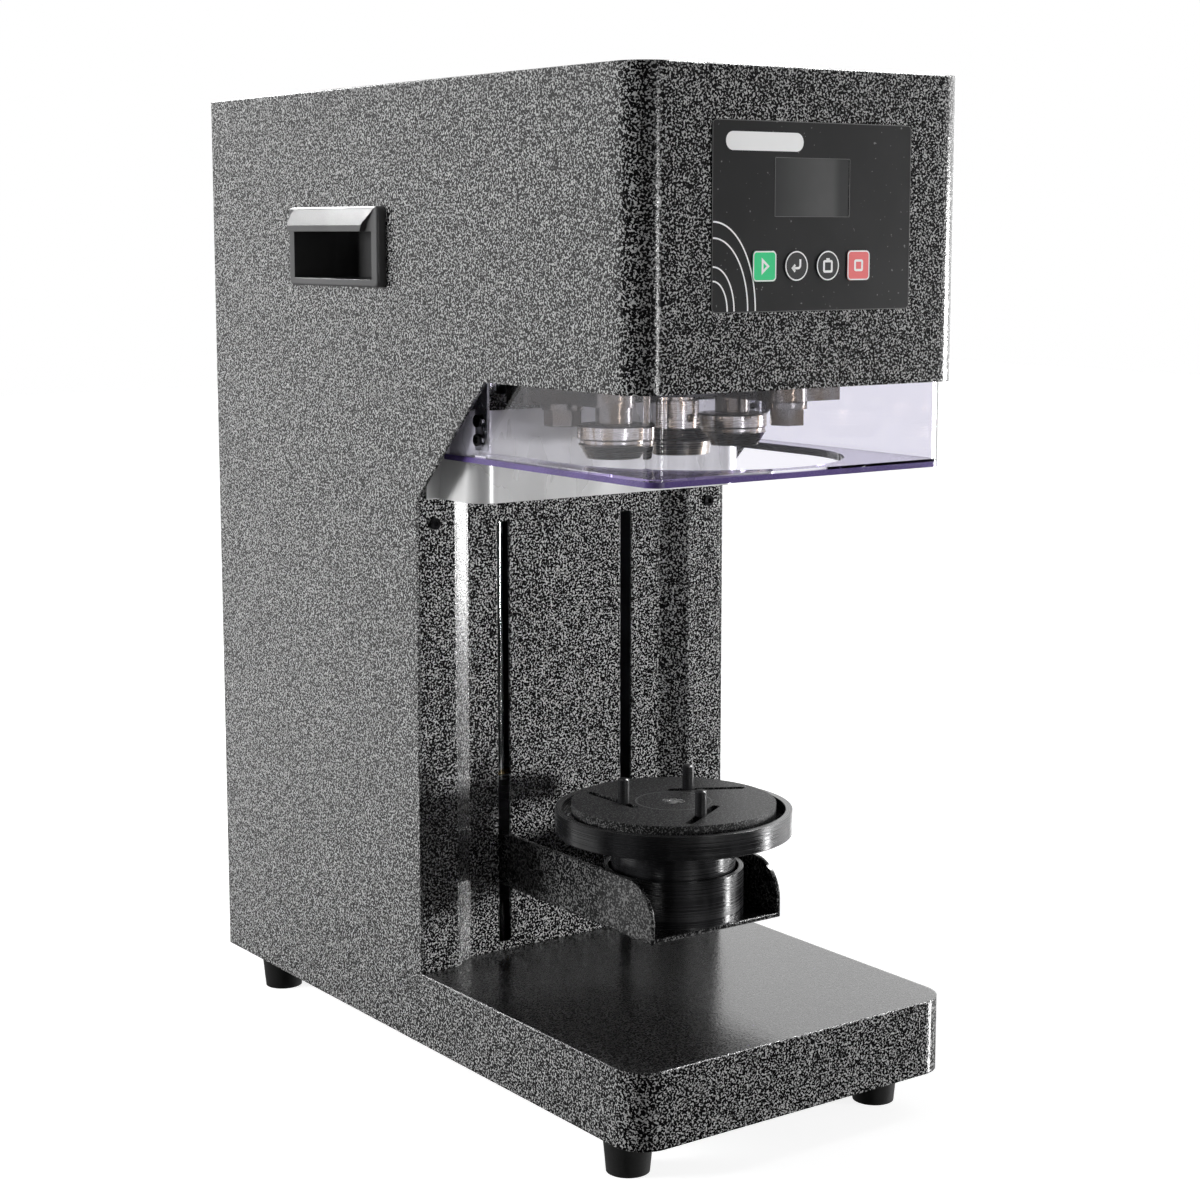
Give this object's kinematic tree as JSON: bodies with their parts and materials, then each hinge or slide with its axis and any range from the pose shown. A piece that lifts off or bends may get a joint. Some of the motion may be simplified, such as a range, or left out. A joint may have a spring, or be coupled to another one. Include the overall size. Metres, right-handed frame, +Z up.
{
  "type": "can seamer",
  "caption": "Benchtop can seamer with a C-shaped body, a rotating can platen on a lift, a driven chuck and seaming rollers inside a clear guard.",
  "frame": {"origin": "on the table under the middle of the machine's overall box", "axes": "+X to the machine's right as its operator faces it, +Y from the front to the back, +Z up"},
  "size_m": [0.254, 0.4844, 0.6096],
  "materials": {
    "hammertone": "black hammertone powder coat with grey veins",
    "zinc_screw": "zinc plated",
    "plate_steel": "satin plate",
    "foot_rubber": "matte black rubber",
    "splash_steel": "brushed bright",
    "clear_plastic": "clear plastic with violet edges",
    "panel_film": "matte black film",
    "display": "grey display",
    "board": "green circuit board",
    "handle_plastic": "satin black plastic",
    "tool_steel": "turned bright steel",
    "housing_iron": "machined iron",
    "bearing_steel": "ground steel",
    "motor_black": "satin black",
    "rod_chrome": "ground and chromed",
    "block_aluminium": "milled",
    "brass": "plain",
    "inlet_plastic": "matte black",
    "rocker_red": "red",
    "start_green": "green",
    "key_black": "black",
    "stop_red": "coral red",
    "platen_black": "black anodised",
    "pin_black": "blackened steel",
    "gear_steel": "milled steel"
  },
  "bodies": {
    "housing": {"housing_shell": "hammertone", "rear_cover": "hammertone", "cover_screws": "zinc_screw", "base_bottom_plate": "plate_steel", "rubber_feet": "foot_rubber", "column_front_panel": "hammertone", "splash_plate": "splash_steel", "clear_guard": "clear_plastic", "guard_brackets": "zinc_screw", "guard_screws": "zinc_screw", "control_panel_film": "panel_film", "display_module": "display", "control_board": "board", "pull_handle_left": "handle_plastic", "pull_handle_right": "handle_plastic", "frame_column": "plate_steel", "head_plate": "plate_steel", "arm_pivot_bolts": "tool_steel", "pivot_washers": "tool_steel", "spindle_housing": "housing_iron", "spindle_bearings": "bearing_steel", "spindle_motor": "motor_black", "motor_bridge": "plate_steel", "bridge_pillars": "zinc_screw", "cam_motor": "motor_black", "guide_rods": "rod_chrome", "lift_foot_block": "block_aluminium", "lift_motor": "motor_black", "power_supply": "block_aluminium", "mains_inlet": "inlet_plastic", "switch_housing": "inlet_plastic"},
    "start_key": {"start_key": "start_green"},
    "enter_key": {"enter_key": "key_black"},
    "menu_key": {"menu_key": "key_black"},
    "stop_key": {"stop_key": "stop_red"},
    "power_rocker": {"power_rocker": "rocker_red"},
    "lift": {"lift_tray": "hammertone", "lift_carriage": "block_aluminium", "guide_bushes": "brass", "lift_nut": "brass", "tray_screws": "zinc_screw", "platen_cup": "platen_black", "platen_bearing": "bearing_steel"},
    "lift_screw": {"lift_screw": "rod_chrome"},
    "platen": {"platen_dish": "platen_black", "platen_disc": "platen_black", "platen_centre_screw": "zinc_screw"},
    "platen_pin_1": {"platen_pin_1": "pin_black"},
    "platen_pin_2": {"platen_pin_2": "pin_black"},
    "platen_pin_3": {"platen_pin_3": "pin_black"},
    "spindle": {"spindle_shaft": "tool_steel", "seaming_chuck": "tool_steel", "spindle_gear": "gear_steel"},
    "spindle_pinion": {"spindle_pinion": "gear_steel"},
    "cam_ring": {"cam_ring": "gear_steel"},
    "cam_pinion": {"cam_pinion": "gear_steel"},
    "first_arm": {"first_roller_arm": "tool_steel"},
    "second_arm": {"second_roller_arm": "tool_steel"},
    "first_roller": {"first_seaming_roller": "tool_steel"},
    "second_roller": {"second_seaming_roller": "tool_steel"}
  },
  "joints": [
    {"name": "start_key_press", "type": "slide", "parent": "housing", "child": "start_key", "axis": [0, 1, 0], "range_m": [0, 0.0005], "stiffness_N_per_m": 400},
    {"name": "enter_key_press", "type": "slide", "parent": "housing", "child": "enter_key", "axis": [0, 1, 0], "range_m": [0, 0.0005], "stiffness_N_per_m": 400},
    {"name": "menu_key_press", "type": "slide", "parent": "housing", "child": "menu_key", "axis": [0, 1, 0], "range_m": [0, 0.0005], "stiffness_N_per_m": 400},
    {"name": "stop_key_press", "type": "slide", "parent": "housing", "child": "stop_key", "axis": [0, 1, 0], "range_m": [0, 0.0005], "stiffness_N_per_m": 400},
    {"name": "power_rocker_tilt", "type": "hinge", "parent": "housing", "child": "power_rocker", "pos_m": [-0.014, 0.23307, 0.101], "axis": [-1, 0, 0], "range_deg": [0, 24]},
    {"name": "lift_travel", "type": "slide", "parent": "housing", "child": "lift", "axis": [0, 0, 1], "range_m": [-0.034, 0.18]},
    {"name": "lift_screw_turn", "type": "hinge", "parent": "housing", "child": "lift_screw", "pos_m": [0, 0.0347, 0.226], "axis": [0, 0, 1], "continuous": true},
    {"name": "platen_turn", "type": "hinge", "parent": "lift", "child": "platen", "pos_m": [0, -0.1218, 0.176], "axis": [0, 0, 1], "continuous": true},
    {"name": "platen_pin_1_slide", "type": "slide", "parent": "platen", "child": "platen_pin_1", "axis": [0.8725, -0.4886, 0], "range_m": [-0.0104, 0.032]},
    {"name": "platen_pin_2_slide", "type": "slide", "parent": "platen", "child": "platen_pin_2", "axis": [-0.0131, 0.9999, 0], "range_m": [-0.0104, 0.032]},
    {"name": "platen_pin_3_slide", "type": "slide", "parent": "platen", "child": "platen_pin_3", "axis": [-0.8594, -0.5113, 0], "range_m": [-0.0245, 0.018]},
    {"name": "spindle_turn", "type": "hinge", "parent": "housing", "child": "spindle", "pos_m": [0, -0.1218, 0.456], "axis": [0, 0, 1], "continuous": true},
    {"name": "spindle_pinion_turn", "type": "hinge", "parent": "housing", "child": "spindle_pinion", "pos_m": [-0.01985, -0.05259, 0.476], "axis": [0, 0, 1], "continuous": true},
    {"name": "cam_pinion_turn", "type": "hinge", "parent": "housing", "child": "cam_pinion", "pos_m": [0.06894, -0.06395, 0.456], "axis": [0, 0, 1], "continuous": true},
    {"name": "cam_turn", "type": "hinge", "parent": "housing", "child": "cam_ring", "pos_m": [0, -0.1218, 0.456], "axis": [0, 0, 1], "range_deg": [-68, 68]},
    {"name": "first_arm_swing", "type": "hinge", "parent": "housing", "child": "first_arm", "pos_m": [-0.055, -0.0868, 0.426], "axis": [0, 0, 1], "range_deg": [-17, 17]},
    {"name": "first_roller_turn", "type": "hinge", "parent": "first_arm", "child": "first_roller", "pos_m": [-0.054, -0.1363, 0.406], "axis": [0, 0, 1], "continuous": true},
    {"name": "second_arm_swing", "type": "hinge", "parent": "housing", "child": "second_arm", "pos_m": [0.055, -0.1568, 0.426], "axis": [0, 0, 1], "range_deg": [-17, 17]},
    {"name": "second_roller_turn", "type": "hinge", "parent": "second_arm", "child": "second_roller", "pos_m": [0.054, -0.1073, 0.406], "axis": [0, 0, 1], "continuous": true}
  ],
  "couplings": [
    {"joint": "lift_screw_turn", "follows": "lift_travel", "rad_per_m": -628.32},
    {"joint": "spindle_pinion_turn", "follows": "spindle_turn", "ratio": -3},
    {"joint": "cam_pinion_turn", "follows": "cam_turn", "ratio": -4},
    {"joint": "first_arm_swing", "follows": "cam_turn", "ratio": 0.25},
    {"joint": "second_arm_swing", "follows": "cam_turn", "ratio": -0.25}
  ]
}
